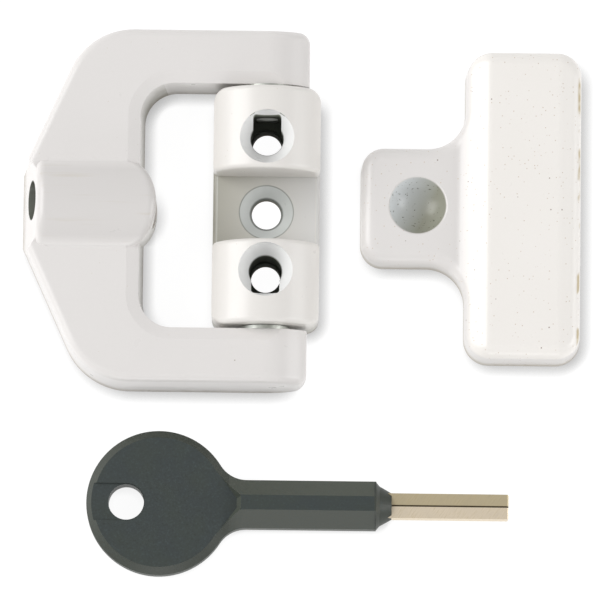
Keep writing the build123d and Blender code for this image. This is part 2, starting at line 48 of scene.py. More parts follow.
# %% [markdown]
# The camera stands almost straight above the set and leans back by a few degrees, so that the ends
# that face the viewer just show. A long lens far away keeps the outlines nearly parallel, as on a
# catalogue picture. The whole set also lies turned by a fraction of a degree in the frame.

# %% Camera
CAMERA_ELEVATION = radians(81.5)
CAMERA_ROLL = radians(0.7)
CAMERA_DISTANCE = 1200 * MM
NEAREST_SEEN = 100 * MM
FARTHEST_SEEN = 10000 * MM
PICTURE_WIDTH = 90 * MM
PICTURE_CENTER = Vector((5.2 * MM, -12.7 * MM, 0))
SENSOR_WIDTH = 36

camera_data = bpy.data.cameras.new("camera")
camera_data.sensor_width = SENSOR_WIDTH
camera_data.lens = SENSOR_WIDTH * CAMERA_DISTANCE / PICTURE_WIDTH
camera_data.clip_start = NEAREST_SEEN
camera_data.clip_end = FARTHEST_SEEN
camera = bpy.data.objects.new("camera", camera_data)
bpy.context.scene.collection.objects.link(camera)
view_direction = Vector((0, -cos(CAMERA_ELEVATION), sin(CAMERA_ELEVATION)))
camera.location = PICTURE_CENTER + CAMERA_DISTANCE * view_direction
lean_back = Matrix.Rotation(pi / 2 - CAMERA_ELEVATION, 3, "X")
camera.rotation_euler = (lean_back @ Matrix.Rotation(CAMERA_ROLL, 3, "Z")).to_euler()
bpy.context.scene.camera = camera
print("Lens in mm:", round(camera_data.lens))

# %% [markdown]
# Materials are made of nodes. One small function adds any node, with its links, values and settings,
# so that each finish below reads as a list of what it is made of. Most nodes have one output that
# matters, so a node that is given as an input stands for the first of its outputs that is switched on.
# Two more functions start an empty material and give one to all the slots of a CAD node.

# %% Node helper
def add_node(tree, kind, inputs=None, **settings):
    """Adds a node to a tree, with its settings, and links or fills its inputs."""
    node = tree.nodes.new("ShaderNode" + kind)
    for name, value in settings.items():
        setattr(node, name, value)
    for name, value in (inputs or {}).items():
        if isinstance(value, bpy.types.Node):
            value = next(output for output in value.outputs if output.enabled)
        if isinstance(value, bpy.types.NodeSocket):
            tree.links.new(value, node.inputs[name])
        else:
            node.inputs[name].default_value = value
    return node


def new_material(name):
    """A material with an empty node tree."""
    material = bpy.data.materials.new(name)
    material.use_nodes = True
    material.node_tree.nodes.clear()
    return material


def paint_node(node_name, material):
    """Gives a CAD node its finish."""
    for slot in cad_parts[node_name].material_slots:
        slot.material = material
    print(node_name, "is finished in", material.name)


print("CAD nodes to finish:", len(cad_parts))

# %% [markdown]
# ## White enamel
# The block, the arm and the keep are zinc die castings with a sprayed and baked white enamel. It could
# be a plain white shader, but enamel that has been handled for years is never that even. So the base
# of the finish drifts in tone from place to place and has a fine mottle from the spray. It comes back
# as a small set of parts, on which each casting lays its own marks: its tree, where a point lies, how
# far the surface looks up there, the colour so far, and where it is matt.

# %% White enamel, base
SOFT_DETAIL = 2.0
CLOUDY_DETAIL = 3.0
RAGGED_DETAIL = 4.0
DRIFT_SIZE = 11 * MM
MOTTLE_SIZE = 0.45 * MM
MOTTLE_SHARE = 0.35


def start_enamel(name, colour, drift_colour):
    """Starts a coat of enamel and returns its parts."""
    material = new_material(name)
    tree = material.node_tree
    surface = add_node(tree, "TexCoord")
    coords = surface.outputs["Object"]
    place = add_node(tree, "SeparateXYZ", {"Vector": coords})
    facing = add_node(tree, "SeparateXYZ", {"Vector": surface.outputs["Normal"]})
    drift = add_node(tree, "TexNoise", {"Vector": coords, "Scale": 1 / DRIFT_SIZE, "Detail": CLOUDY_DETAIL})
    mottle = add_node(tree, "TexNoise", {"Vector": coords, "Scale": 1 / MOTTLE_SIZE, "Detail": SOFT_DETAIL})
    clouds = add_node(tree, "Mix", {"Factor": MOTTLE_SHARE, "A": drift, "B": mottle})
    tone = add_node(
        tree, "Mix", {"Factor": clouds, "A": linear(colour), "B": linear(drift_colour)}, data_type="RGBA"
    )
    return {"material": material, "tree": tree, "coords": coords, "x": place.outputs["X"],
            "y": place.outputs["Y"], "z": place.outputs["Z"], "up": facing.outputs["Z"],
            "colour": tone, "matt": 0.0}


print("Enamel drifts over", round(DRIFT_SIZE / MM), "mm, mottled over", round(MOTTLE_SIZE / MM, 2), "mm")

# %% [markdown]
# Dust that fell in the wet paint shows as pale brown pin-pricks, with a darker one here and there. A
# Voronoi texture scatters points in space. A speck shows where the surface passes close to one, and
# the cell's own random colour decides whether that cell has a speck at all.

# %% Dust specks
SPECK_CORE = 0.4
PALE_SPECK = "#CFC8BE"
DARK_SPECK = "#9C9284"


def add_specks(coat, spacing, radius, share, colour):
    """Scatters specks over a coat of paint. share is the part of the cells that have one."""
    tree = coat["tree"]
    cells = add_node(tree, "TexVoronoi", {"Vector": coat["coords"], "Scale": 1 / spacing})
    near = add_node(
        tree, "MapRange",
        {"Value": cells, "From Min": SPECK_CORE * radius / spacing, "From Max": radius / spacing,
         "To Min": 1.0, "To Max": 0.0}
    )
    picked = add_node(tree, "Math", {0: cells.outputs["Color"], 1: share}, operation="LESS_THAN")
    specks = add_node(tree, "Math", {0: near, 1: picked}, operation="MULTIPLY")
    coat["colour"] = add_node(
        tree, "Mix", {"Factor": specks, "A": coat["colour"], "B": linear(colour)}, data_type="RGBA"
    )


print("The inner", SPECK_CORE, "of a speck's radius has its full colour")

# %% [markdown]
# The second half of the finish is laid over whatever marks a casting has of its own. Steep walls are found
# by how little they face up or down, and they are darkened more towards the foot: soot, with painted shade
# where the ground closes in. Where a wall meets the ground it carries a broken brown line, grime with
# painted contact shade. The underside is soiled in patches. Noise decides how strong each of them is from
# place to place, and two values say between which levels it counts.

# %% White enamel, soot and grime
WALL_UP = 0.1
SLOPE_UP = 0.5
NOISE_LOW = 0.3
NOISE_HIGH = 0.7
PATCH_SIZE = 2.5 * MM
SOOT_AND_SHADE_HEIGHT = 8 * MM
SOOT_AND_SHADE_AT_TOP = 0.25
LEAST_SOOT_AND_SHADE = 0.6
UNDERSIDE_UP = -0.9
UNDERSIDE_EDGE_UP = -0.6
UNDERSIDE_COLOUR = "#BDBAB1"
LEAST_SOIL = 0.5
MOST_SOIL = 0.9
GRIME_AND_SHADE_GRAIN = 1.2 * MM
GRIME_AND_SHADE_AT_FOOT = 0.9
LEAST_GRIME_AND_SHADE = 0.6


def soil_enamel(coat, patches, soot_and_shade_amount, soot_and_shade_colour, grime_and_shade_height, grime_and_shade_colour):
    """Lays soil on the underside, and soot, grime and painted shade on the walls, of a coat of paint."""
    tree = coat["tree"]
    level = add_node(tree, "Math", {0: coat["up"]}, operation="ABSOLUTE")
    steep = add_node(
        tree, "MapRange",
        {"Value": level, "From Min": WALL_UP, "From Max": SLOPE_UP, "To Min": 1.0, "To Max": 0.0}
    )
    low = add_node(
        tree, "MapRange", {"Value": coat["z"], "From Max": SOOT_AND_SHADE_HEIGHT, "To Min": 1.0, "To Max": SOOT_AND_SHADE_AT_TOP}
    )
    underneath = add_node(
        tree, "MapRange",
        {"Value": coat["up"], "From Min": UNDERSIDE_UP, "From Max": UNDERSIDE_EDGE_UP,
         "To Min": 1.0, "To Max": 0.0}
    )
    soil_patches = add_node(
        tree, "MapRange",
        {"Value": patches, "From Min": NOISE_LOW, "From Max": NOISE_HIGH,
         "To Min": LEAST_SOIL, "To Max": MOST_SOIL}
    )
    soil = add_node(tree, "Math", {0: underneath, 1: soil_patches}, operation="MULTIPLY")
    soiled = add_node(
        tree, "Mix", {"Factor": soil, "A": coat["colour"], "B": linear(UNDERSIDE_COLOUR)}, data_type="RGBA"
    )
    # Painted shade: walls are darkened towards the foot, partly soot and partly the shade near the ground.
    wall = add_node(tree, "Math", {0: steep, 1: low}, operation="MULTIPLY")
    soot_and_shade_patches = add_node(
        tree, "MapRange",
        {"Value": patches, "From Min": NOISE_LOW, "From Max": NOISE_HIGH, "To Min": LEAST_SOOT_AND_SHADE}
    )
    uneven = add_node(tree, "Math", {0: wall, 1: soot_and_shade_patches}, operation="MULTIPLY")
    soot_and_shade = add_node(tree, "Math", {0: uneven, 1: soot_and_shade_amount}, operation="MULTIPLY")
    sooted_and_shaded = add_node(tree, "Mix", {"Factor": soot_and_shade, "A": soiled, "B": linear(soot_and_shade_colour)}, data_type="RGBA")
    # Painted contact shade: the broken brown line at a wall's foot is partly grime, partly the shade where
    # wall meets ground.
    foot = add_node(
        tree, "MapRange",
        {"Value": coat["z"], "From Max": grime_and_shade_height, "To Min": GRIME_AND_SHADE_AT_FOOT, "To Max": 0.0}
    )
    grains = add_node(
        tree, "TexNoise", {"Vector": coat["coords"], "Scale": 1 / GRIME_AND_SHADE_GRAIN, "Detail": CLOUDY_DETAIL}
    )
    broken = add_node(
        tree, "MapRange",
        {"Value": grains, "From Min": NOISE_LOW, "From Max": NOISE_HIGH, "To Min": LEAST_GRIME_AND_SHADE}
    )
    foot_wall = add_node(tree, "Math", {0: foot, 1: steep}, operation="MULTIPLY")
    grime_and_shade = add_node(tree, "Math", {0: foot_wall, 1: broken}, operation="MULTIPLY")
    coat["colour"] = add_node(
        tree, "Mix", {"Factor": grime_and_shade, "A": sooted_and_shaded, "B": linear(grime_and_shade_colour)}, data_type="RGBA"
    )


print("Soot fades up to", round(SOOT_AND_SHADE_HEIGHT / MM), "mm above the ground")

# %% [markdown]
# The paint's film reflects as clear varnish would, so its roughness stays low and varies only a little
# from patch to patch. A faint ripple is left from how the paint flowed before it was baked. Where a
# casting says that it is matt, the roughness goes up to 1.

# %% White enamel, film
ENAMEL_IOR = 1.5
ENAMEL_ROUGHNESS = 0.3
ROUGHNESS_SWING = 0.06
RIPPLE_SIZE = 1.6 * MM
RIPPLE_HEIGHT = 0.003 * MM


def finish_enamel(coat, soot_and_shade_amount, soot_and_shade_colour, grime_and_shade_height, grime_and_shade_colour):
    """Soils and shades a coat of paint, gives it its film, and returns the material."""
    tree = coat["tree"]
    patches = add_node(
        tree, "TexNoise", {"Vector": coat["coords"], "Scale": 1 / PATCH_SIZE, "Detail": RAGGED_DETAIL}
    )
    soil_enamel(coat, patches, soot_and_shade_amount, soot_and_shade_colour, grime_and_shade_height, grime_and_shade_colour)
    ripple = add_node(
        tree, "TexNoise", {"Vector": coat["coords"], "Scale": 1 / RIPPLE_SIZE, "Detail": SOFT_DETAIL}
    )
    bump = add_node(tree, "Bump", {"Height": ripple, "Strength": 1.0, "Distance": RIPPLE_HEIGHT})
    film = add_node(
        tree, "MapRange",
        {"Value": patches, "To Min": ENAMEL_ROUGHNESS - ROUGHNESS_SWING,
         "To Max": ENAMEL_ROUGHNESS + ROUGHNESS_SWING}
    )
    roughness = add_node(tree, "Math", {0: film, 1: coat["matt"]}, operation="MAXIMUM")
    shader = add_node(
        tree, "BsdfPrincipled",
        {"Base Color": coat["colour"], "Roughness": roughness, "IOR": ENAMEL_IOR, "Normal": bump}
    )
    add_node(tree, "OutputMaterial", {"Surface": shader})
    return coat["material"]


print("Roughness of the film:", ENAMEL_ROUGHNESS, "give or take", ROUGHNESS_SWING)

# %% [markdown]
# ## Enamel of the swing arm
# The boss's raised crown is painted a duller grey than the plate around it, a painted reflection of the
# darker surroundings that its curved crown mirrors, with faint brown streaks that run along it. They could
# be placed one by one, but height picks the boss out, and noise that is stretched along the boss draws them
# all.

# %% Boss of the swing arm
ARM_WHITE = "#DFDCDA"
ARM_DRIFT = "#D9D6D4"
BOSS_SHADE_GREY = "#D2CFCD"
STREAK_BROWN = "#CBC6BE"
BOSS_START = 10.4 * MM
BOSS_BLEND = 0.8 * MM
STREAK_PITCH = 0.7 * MM
STREAK_LENGTH = 16 * MM
STREAK_LOW = 0.58
STREAK_HIGH = 0.8

# Baked enamel gives the eye a smooth white skin with soft, wide highlights over cast metal.
arm_coat = start_enamel("baked_white_enamel_arm", ARM_WHITE, ARM_DRIFT)
tree = arm_coat["tree"]
on_boss = add_node(
    tree, "MapRange", {"Value": arm_coat["z"], "From Min": BOSS_START, "From Max": BOSS_START + BOSS_BLEND}
)
# Painted reflection: the raised crown is painted a duller grey than the plate.
boss_shaded = add_node(
    tree, "Mix", {"Factor": on_boss, "A": arm_coat["colour"], "B": linear(BOSS_SHADE_GREY)}, data_type="RGBA"
)
along_boss = add_node(
    tree, "Mapping", {"Vector": arm_coat["coords"], "Scale": (STREAK_PITCH / STREAK_LENGTH, 1.0, 1.0)}
)
wisps = add_node(tree, "TexNoise", {"Vector": along_boss, "Scale": 1 / STREAK_PITCH, "Detail": SOFT_DETAIL})
streaks = add_node(tree, "MapRange", {"Value": wisps, "From Min": STREAK_LOW, "From Max": STREAK_HIGH})
boss_streaks = add_node(tree, "Math", {0: on_boss, 1: streaks}, operation="MULTIPLY")
arm_coat["colour"] = add_node(
    tree, "Mix", {"Factor": boss_streaks, "A": boss_shaded, "B": linear(STREAK_BROWN)}, data_type="RGBA"
)
add_specks(arm_coat, spacing=0.9 * MM, radius=0.09 * MM, share=0.3, colour=PALE_SPECK)
add_specks(arm_coat, spacing=1.8 * MM, radius=0.12 * MM, share=0.2, colour=DARK_SPECK)
print("The boss is duller from", round(BOSS_START / MM, 1), "mm up")

# %% [markdown]
# The walls of the arm's window get the most soot and painted shade, because shade falls deep inside the
# window. The keyhole in the end of the boss is painted dark, as painted shade of its inside. A wall can't be
# picked by name in a material, so both are found by their place: the window by its edges, and the keyhole by
# how far a point lies from the keyhole's axis.

# %% Window walls and keyhole of the swing arm
WINDOW_EDGE_Y = 18.2 * MM
WINDOW_EDGE_X = -19.0 * MM
OUTER_SOOT_AND_SHADE = 0.12
WINDOW_SOOT_AND_SHADE = 0.9
KEYHOLE_AXIS = (-35 * MM, 0.8 * MM, 7.0 * MM)
KEYHOLE_RADIUS = 3.0 * MM
KEYHOLE_END = -31.5 * MM
KEYHOLE_SHADE = "#63675F"
ARM_GRIME_AND_SHADE_HEIGHT = 2.6 * MM

arm_away = add_node(tree, "Math", {0: arm_coat["y"]}, operation="ABSOLUTE")
window_band = add_node(tree, "Math", {0: arm_away, 1: WINDOW_EDGE_Y}, operation="LESS_THAN")
window_side = add_node(tree, "Math", {0: arm_coat["x"], 1: WINDOW_EDGE_X}, operation="GREATER_THAN")
in_window = add_node(tree, "Math", {0: window_band, 1: window_side}, operation="MULTIPLY")
# Painted shade: the window walls get far more soot and shade than the outer walls.
arm_soot_and_shade = add_node(tree, "MapRange", {"Value": in_window, "To Min": OUTER_SOOT_AND_SHADE, "To Max": WINDOW_SOOT_AND_SHADE})
keyhole_place = add_node(tree, "CombineXYZ", {"X": KEYHOLE_AXIS[0], "Y": arm_coat["y"], "Z": arm_coat["z"]})
from_keyhole = add_node(tree, "VectorMath", {0: keyhole_place, 1: KEYHOLE_AXIS}, operation="DISTANCE")
within = add_node(tree, "Math", {0: from_keyhole, 1: KEYHOLE_RADIUS}, operation="LESS_THAN")
at_end = add_node(tree, "Math", {0: arm_coat["x"], 1: KEYHOLE_END}, operation="LESS_THAN")
in_keyhole = add_node(tree, "Math", {0: within, 1: at_end}, operation="MULTIPLY")
# Painted shade: the inside of the keyhole is painted dark.
arm_coat["colour"] = add_node(
    tree, "Mix", {"Factor": in_keyhole, "A": arm_coat["colour"], "B": linear(KEYHOLE_SHADE)}, data_type="RGBA"
)
arm_enamel = finish_enamel(
    arm_coat, soot_and_shade_amount=arm_soot_and_shade, soot_and_shade_colour="#7E7B62", grime_and_shade_height=ARM_GRIME_AND_SHADE_HEIGHT,
    grime_and_shade_colour="#83745A"
)
paint_node("swing_arm", arm_enamel)

# %% [markdown]
# ## Enamel of the hinge block
# The floor of the recess between the two pads is greyer than the pads, and darker and browner on the left:
# dirt with painted shade of the recess. It lies lower than everything else on top of the block, so height
# alone finds it. The feet of the outer walls lie as low and take its tone too.

# %% Recess of the hinge block
BLOCK_WHITE = "#E3E0DC"
BLOCK_DRIFT = "#DEDBD7"
RECESS_FLOOR = 3.6 * MM
RECESS_BLEND = 1.2 * MM
BLOCK_SIDE = 8 * MM
FLOOR_LEFT = "#B5B3A8"
FLOOR_RIGHT = "#D4D3D1"

# The same baked enamel as on the arm, a smooth white skin, here a shade warmer.
block_coat = start_enamel("baked_white_enamel_block", BLOCK_WHITE, BLOCK_DRIFT)
tree = block_coat["tree"]
in_recess = add_node(
    tree, "MapRange",
    {"Value": block_coat["z"], "From Min": RECESS_FLOOR, "From Max": RECESS_FLOOR + RECESS_BLEND,
     "To Min": 1.0, "To Max": 0.0}
)
from_left = add_node(
    tree, "MapRange", {"Value": block_coat["x"], "From Min": -BLOCK_SIDE, "From Max": BLOCK_SIDE}
)
# Dirt and painted shade: the recess floor is greyer, darker and browner on the left.
floor_tone = add_node(
    tree, "Mix", {"Factor": from_left, "A": linear(FLOOR_LEFT), "B": linear(FLOOR_RIGHT)}, data_type="RGBA"
)
block_coat["colour"] = add_node(
    tree, "Mix", {"Factor": in_recess, "A": block_coat["colour"], "B": floor_tone}, data_type="RGBA"
)
print("The recess is grey up to", round((RECESS_FLOOR + RECESS_BLEND) / MM, 1), "mm")

# %% [markdown]
# The three cones are painted bluish, and the one in the recess also grey. The cones could be found by their
# slope alone, but the pads' rounded edges slope too. So a point also has to lie close to a screw's axis. The
# pattern is folded over the middle screw and over the end ones, so that one distance serves all three.

# %% Screw cones of the hinge block
SCREW_PITCH = 10 * MM
CONE_RADIUS = 4.05 * MM
CONE_MARGIN = 0.15 * MM
CONE_UP = 0.74
PAD_UP = 0.8
CONE_COLOUR = "#E9E9E8"
DEEP_CONE_COLOUR = "#CDD0CE"

block_away = add_node(tree, "Math", {0: block_coat["y"]}, operation="ABSOLUTE")
block_aside = add_node(tree, "Math", {0: block_coat["x"]}, operation="ABSOLUTE")
past_end_screw = add_node(tree, "Math", {0: block_away, 1: SCREW_PITCH}, operation="SUBTRACT")
from_end_screw = add_node(tree, "Math", {0: past_end_screw}, operation="ABSOLUTE")
along = add_node(tree, "Math", {0: block_away, 1: from_end_screw}, operation="MINIMUM")
folded_place = add_node(tree, "CombineXYZ", {"X": block_coat["x"], "Y": along})
from_screw = add_node(tree, "VectorMath", {0: folded_place}, operation="LENGTH")
tilted = add_node(
    tree, "MapRange",
    {"Value": block_coat["up"], "From Min": CONE_UP, "From Max": PAD_UP, "To Min": 1.0, "To Max": 0.0}
)
by_screw = add_node(tree, "Math", {0: from_screw, 1: CONE_RADIUS + CONE_MARGIN}, operation="LESS_THAN")
cone = add_node(tree, "Math", {0: tilted, 1: by_screw}, operation="MULTIPLY")
bluish = add_node(
    tree, "Mix", {"Factor": cone, "A": block_coat["colour"], "B": linear(CONE_COLOUR)}, data_type="RGBA"
)
deep_cone = add_node(tree, "Math", {0: cone, 1: in_recess}, operation="MULTIPLY")
block_coat["colour"] = add_node(
    tree, "Mix", {"Factor": deep_cone, "A": bluish, "B": linear(DEEP_CONE_COLOUR)}, data_type="RGBA"
)
print("Cones reach", round(CONE_RADIUS / MM, 2), "mm from their screws' axes")

# %% [markdown]
# Three kinds of thin line finish the top of the block: a line of dirt around the cone in the recess, a dark
# rim where each cone meets its bore, which is painted shade of the bore's wall, and a light line along each
# open side of the recess, which is a painted highlight on its rounded edge. Each fades out at a distance
# that is counted from a screw's axis or from the block's middle.

# %% Thin lines of the hinge block
RING_WIDTH = 0.12 * MM
RING_CORE = 0.4 * RING_WIDTH
RING_AMOUNT = 0.6
RING_COLOUR = "#6C7068"
RIM_RADIUS = 2.4 * MM
RIM_BLEND = 0.2 * MM
BORE_RIM_SHADE_AMOUNT = 0.85
BORE_RIM_SHADE = "#4C5049"
LIGHT_LINE = 7.4 * MM
LIGHT_CORE = 0.05 * MM
LIGHT_WIDTH = 0.13 * MM
EDGE_HIGHLIGHT_AMOUNT = 0.7
EDGE_HIGHLIGHT_COLOUR = "#D9D8D2"

past_ring = add_node(tree, "Math", {0: from_screw, 1: CONE_RADIUS}, operation="SUBTRACT")
off_ring = add_node(tree, "Math", {0: past_ring}, operation="ABSOLUTE")
ring = add_node(
    tree, "MapRange",
    {"Value": off_ring, "From Min": RING_CORE, "From Max": RING_WIDTH, "To Min": RING_AMOUNT, "To Max": 0.0}
)
deep_ring = add_node(tree, "Math", {0: ring, 1: in_recess}, operation="MULTIPLY")
ringed = add_node(
    tree, "Mix", {"Factor": deep_ring, "A": block_coat["colour"], "B": linear(RING_COLOUR)}, data_type="RGBA"
)
# Painted shade: a dark rim on each cone where its bore's wall falls into shade.
rim = add_node(
    tree, "MapRange",
    {"Value": from_screw, "From Min": RIM_RADIUS, "From Max": RIM_RADIUS + RIM_BLEND,
     "To Min": BORE_RIM_SHADE_AMOUNT, "To Max": 0.0}
)
cone_rim = add_node(tree, "Math", {0: rim, 1: cone}, operation="MULTIPLY")
rimmed = add_node(tree, "Mix", {"Factor": cone_rim, "A": ringed, "B": linear(BORE_RIM_SHADE)}, data_type="RGBA")
# Painted highlight: a light line along each open side of the recess.
past_line = add_node(tree, "Math", {0: block_aside, 1: LIGHT_LINE}, operation="SUBTRACT")
off_line = add_node(tree, "Math", {0: past_line}, operation="ABSOLUTE")
edge_highlight = add_node(
    tree, "MapRange",
    {"Value": off_line, "From Min": LIGHT_CORE, "From Max": LIGHT_WIDTH,
     "To Min": EDGE_HIGHLIGHT_AMOUNT, "To Max": 0.0}
)
recess_edge_highlight = add_node(tree, "Math", {0: edge_highlight, 1: in_recess}, operation="MULTIPLY")
block_coat["colour"] = add_node(
    tree, "Mix", {"Factor": recess_edge_highlight, "A": rimmed, "B": linear(EDGE_HIGHLIGHT_COLOUR)}, data_type="RGBA"
)
add_specks(block_coat, spacing=0.9 * MM, radius=0.09 * MM, share=0.25, colour=PALE_SPECK)
print("Lines fade within", [round(width / MM, 2) for width in (RING_WIDTH, RIM_BLEND, LIGHT_WIDTH)], "mm")

# %% [markdown]
# The bores and the slots for the hinge pins lie in the dark and hold old grease. They are painted dark grey
# as painted shade, paler near the top, and are fully matt. With a gloss, a bore's wall would mirror the
# white paper, because it is seen at a very flat angle. Steep walls mark the bores, and height finds the
# slots' floors.

# %% Bores and slots of the hinge block
BORE_WALL_UP = 0.2
BORE_EDGE = 2.6 * MM
BORE_START = 7.5 * MM
SLOT_END = 13.6 * MM
SLOT_FLOOR = 4.6 * MM
FOOT_EDGE = 0.1 * MM
HOLE_SHADE_BOTTOM = 9.0 * MM
HOLE_SHADE_TOP = 11.0 * MM
DEEP_HOLE_SHADE = "#4E5249"
UPPER_HOLE_SHADE = "#979C8F"

bore_wall = add_node(
    tree, "MapRange",
    {"Value": block_coat["up"], "From Min": BORE_WALL_UP, "From Max": SLOPE_UP, "To Min": 1.0, "To Max": 0.0}
)
slot_floor = add_node(tree, "Math", {0: block_coat["z"], 1: SLOT_FLOOR}, operation="LESS_THAN")
hidden = add_node(tree, "Math", {0: bore_wall, 1: slot_floor}, operation="MAXIMUM")
past_bore_start = add_node(tree, "Math", {0: block_away, 1: BORE_START}, operation="GREATER_THAN")
before_slot_end = add_node(tree, "Math", {0: block_away, 1: SLOT_END}, operation="LESS_THAN")
end_zone = add_node(tree, "Math", {0: past_bore_start, 1: before_slot_end}, operation="MULTIPLY")
middle_zone = add_node(tree, "Math", {0: block_away, 1: BORE_EDGE}, operation="LESS_THAN")
end_holes = add_node(tree, "Math", {0: end_zone, 1: hidden}, operation="MULTIPLY")
middle_hole = add_node(tree, "Math", {0: middle_zone, 1: bore_wall}, operation="MULTIPLY")
any_hole = add_node(tree, "Math", {0: end_holes, 1: middle_hole}, operation="MAXIMUM")
narrow = add_node(tree, "Math", {0: block_aside, 1: BORE_EDGE}, operation="LESS_THAN")
off_foot = add_node(tree, "Math", {0: block_coat["z"], 1: FOOT_EDGE}, operation="GREATER_THAN")
strip = add_node(tree, "Math", {0: narrow, 1: off_foot}, operation="MULTIPLY")
shaded_and_greasy = add_node(tree, "Math", {0: any_hole, 1: strip}, operation="MULTIPLY")
height = add_node(
    tree, "MapRange", {"Value": block_coat["z"], "From Min": HOLE_SHADE_BOTTOM, "From Max": HOLE_SHADE_TOP}
)
# Painted shade: the holes are painted dark grey, darkest deep down.
hole_shade = add_node(
    tree, "Mix", {"Factor": height, "A": linear(DEEP_HOLE_SHADE), "B": linear(UPPER_HOLE_SHADE)}, data_type="RGBA"
)
block_coat["colour"] = add_node(
    tree, "Mix", {"Factor": shaded_and_greasy, "A": block_coat["colour"], "B": hole_shade}, data_type="RGBA"
)
block_coat["matt"] = shaded_and_greasy
print("End bores and slots lie", round(BORE_START / MM, 1), "to", round(SLOT_END / MM, 1), "mm out")

# %% [markdown]
# The walls at the block's two ends face the arm across narrow gaps, where shade falls, so they get more soot
# and painted shade than those along its sides, and the amount depends on how far along the block a wall
# lies. The grime line at its foot is thinner than the arm's.

# %% Soot on the hinge block
END_START = 16.5 * MM
END_FULL = 17.2 * MM
SIDE_SOOT_AND_SHADE = 0.15
END_SOOT_AND_SHADE = 0.6
BLOCK_GRIME_AND_SHADE_HEIGHT = 1.6 * MM

# Painted shade: end walls in the gaps to the arm are darkened more than the side walls.
block_soot_and_shade = add_node(
    tree, "MapRange",
    {"Value": block_away, "From Min": END_START, "From Max": END_FULL,
     "To Min": SIDE_SOOT_AND_SHADE, "To Max": END_SOOT_AND_SHADE}
)
block_enamel = finish_enamel(
    block_coat, soot_and_shade_amount=block_soot_and_shade, soot_and_shade_colour="#98937C", grime_and_shade_height=BLOCK_GRIME_AND_SHADE_HEIGHT,
    grime_and_shade_colour="#8A7C64"
)
paint_node("hinge_block", block_enamel)

# %% [markdown]
# ## Enamel of the keep
# The keep has the warmest white of the three and the most dust, and its low stem is greyer than its
# bar. Rust-brown stains follow its right edge, where water has stood. They are a thin line along the
# edge that noise breaks up, and they are kept to the rounding, so that none runs down the wall.

# %% Stem and stains of the keep
KEEP_WHITE = "#EEEBE7"
KEEP_DRIFT = "#E9E5E0"
STEM_TOP = 5.7 * MM
STEM_BLEND = 0.8 * MM
STEM_GREY = "#DDDAD8"
STAIN_LINE = 46.7 * MM
STAIN_CORE = 0.1 * MM
STAIN_WIDTH = 0.35 * MM
STAIN_LENGTH = 4 * MM
STAIN_LOW = 0.52
STAIN_HIGH = 0.6
EDGE_UP = 0.25
STAIN_COLOUR = "#BCAD8A"

# The same baked enamel once more, in the warmest white of the three.
keep_coat = start_enamel("baked_white_enamel_keep", KEEP_WHITE, KEEP_DRIFT)
tree = keep_coat["tree"]
on_stem = add_node(
    tree, "MapRange",
    {"Value": keep_coat["z"], "From Min": STEM_TOP, "From Max": STEM_TOP + STEM_BLEND,
     "To Min": 1.0, "To Max": 0.0}
)
keep_coat["colour"] = add_node(
    tree, "Mix", {"Factor": on_stem, "A": keep_coat["colour"], "B": linear(STEM_GREY)}, data_type="RGBA"
)
add_specks(keep_coat, spacing=0.62 * MM, radius=0.11 * MM, share=0.5, colour="#C6B6A5")
add_specks(keep_coat, spacing=1.5 * MM, radius=0.14 * MM, share=0.3, colour="#87766A")
past_stain = add_node(tree, "Math", {0: keep_coat["x"], 1: STAIN_LINE}, operation="SUBTRACT")
off_stain = add_node(tree, "Math", {0: past_stain}, operation="ABSOLUTE")
stain_line = add_node(
    tree, "MapRange",
    {"Value": off_stain, "From Min": STAIN_CORE, "From Max": STAIN_WIDTH, "To Min": 1.0, "To Max": 0.0}
)
stain_noise = add_node(
    tree, "TexNoise", {"Vector": keep_coat["coords"], "Scale": 1 / STAIN_LENGTH, "Detail": SOFT_DETAIL}
)
stain_places = add_node(
    tree, "MapRange", {"Value": stain_noise, "From Min": STAIN_LOW, "From Max": STAIN_HIGH}
)
on_edge = add_node(tree, "MapRange", {"Value": keep_coat["up"], "From Min": EDGE_UP, "From Max": SLOPE_UP})
broken_line = add_node(tree, "Math", {0: stain_line, 1: stain_places}, operation="MULTIPLY")
stains = add_node(tree, "Math", {0: broken_line, 1: on_edge}, operation="MULTIPLY")
keep_coat["colour"] = add_node(
    tree, "Mix", {"Factor": stains, "A": keep_coat["colour"], "B": linear(STAIN_COLOUR)}, data_type="RGBA"
)
print("Stains follow the edge at x =", round(STAIN_LINE / MM, 1), "mm")

# %% [markdown]
# The bolt has worn the keep's cup smooth and grey. Across the hollow, painted light and shade run from a lit
# bluish grey on the left to a shaded olive at the lower right, and dark crumbs of dirt stick in it. A
# distance to the cup's axis finds it, and a slanting measure across it drives the change of tone.

# %% Cup of the keep
CUP_CENTER = (22.65 * MM, 1.05 * MM, 0)
CUP_RADIUS = 4.3 * MM
CUP_BLEND = 0.15 * MM
CUP_SLANT = 0.5
LIT_SIDE_END = 18.5 * MM
SHADED_SIDE_START = 24.0 * MM
CUP_LIT_SIDE = "#D6DADC"
CUP_SHADED_SIDE = "#929284"
CRUMB_SIZE = 0.4 * MM
CRUMB_LOW = 0.65
CRUMB_HIGH = 0.73
CRUMB_COLOUR = "#5C5A4C"
KEEP_SOOT_AND_SHADE = 0.2
KEEP_GRIME_AND_SHADE_HEIGHT = 2.4 * MM

keep_flat = add_node(tree, "CombineXYZ", {"X": keep_coat["x"], "Y": keep_coat["y"]})
from_cup = add_node(tree, "VectorMath", {0: keep_flat, 1: CUP_CENTER}, operation="DISTANCE")
in_cup = add_node(
    tree, "MapRange",
    {"Value": from_cup, "From Min": CUP_RADIUS - CUP_BLEND, "From Max": CUP_RADIUS,
     "To Min": 1.0, "To Max": 0.0}
)
slant = add_node(tree, "Math", {0: keep_coat["y"], 1: CUP_SLANT}, operation="MULTIPLY")
across = add_node(tree, "Math", {0: keep_coat["x"], 1: slant}, operation="SUBTRACT")
